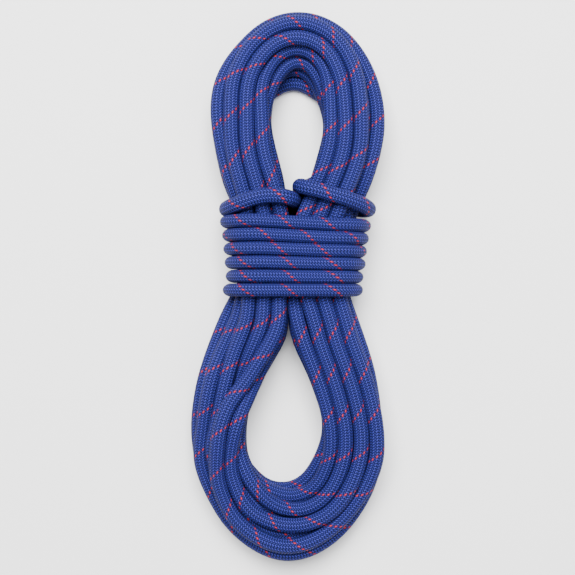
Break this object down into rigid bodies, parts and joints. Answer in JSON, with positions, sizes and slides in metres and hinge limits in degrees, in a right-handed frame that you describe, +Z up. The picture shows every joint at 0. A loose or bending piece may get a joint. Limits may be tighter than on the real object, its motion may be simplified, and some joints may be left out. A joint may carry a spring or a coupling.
{
  "type": "climbing rope bundle",
  "caption": "Dynamic kernmantle climbing rope coiled into a gasket coil: a skein of loops wrapped at the waist and locked by a bight round its neck",
  "frame": {"origin": "centre of the underside of the bundle as it lies on its back on a floor", "axes": "+X to the right of the head loop seen from the front, +Y along the bundle toward the head loop, +Z up out of its front"},
  "size_m": [0.1245, 0.352, 0.0584],
  "materials": {
    "sheath": "braided polyamide sheath, royal blue with one orange-red tracer yarn",
    "core": "twisted white polyamide core strands",
    "seal": "melted and smoothed rope end",
    "sleeve": "plain dark heat-shrink sleeve"
  },
  "bodies": {
    "root": {"waist_skein": "sheath", "neck_left": "sheath", "neck_right": "sheath", "head_arm_left": "sheath", "head_arm_right": "sheath", "head_crown": "sheath", "waist_wrap_1": "sheath", "waist_wrap_2": "sheath", "waist_wrap_3": "sheath", "waist_wrap_4": "sheath", "waist_wrap_5": "sheath", "waist_wrap_6": "sheath", "lock_leg_left": "sheath", "collar_left": "sheath", "collar_back": "sheath", "collar_right": "sheath", "lock_leg_right": "sheath", "tail_finish": "sheath", "tail_start": "sheath", "finish_sheath_end": "sheath", "finish_core_strands": "core", "finish_end_seal": "seal", "finish_end_sleeve": "sleeve", "start_sheath_end": "sheath", "start_core_strands": "core", "start_end_seal": "seal", "start_end_sleeve": "sleeve"},
    "foot_loop": {"foot_throat": "sheath", "foot_arm_left": "sheath", "foot_arm_right": "sheath", "foot_bend": "sheath"}
  },
  "joints": [
    {"name": "foot_flex", "type": "hinge", "parent": "root", "child": "foot_loop", "pos_m": [0, -0.0256, 0.0284], "axis": [-1, 0, 0], "range_deg": [0, 60]}
  ]
}
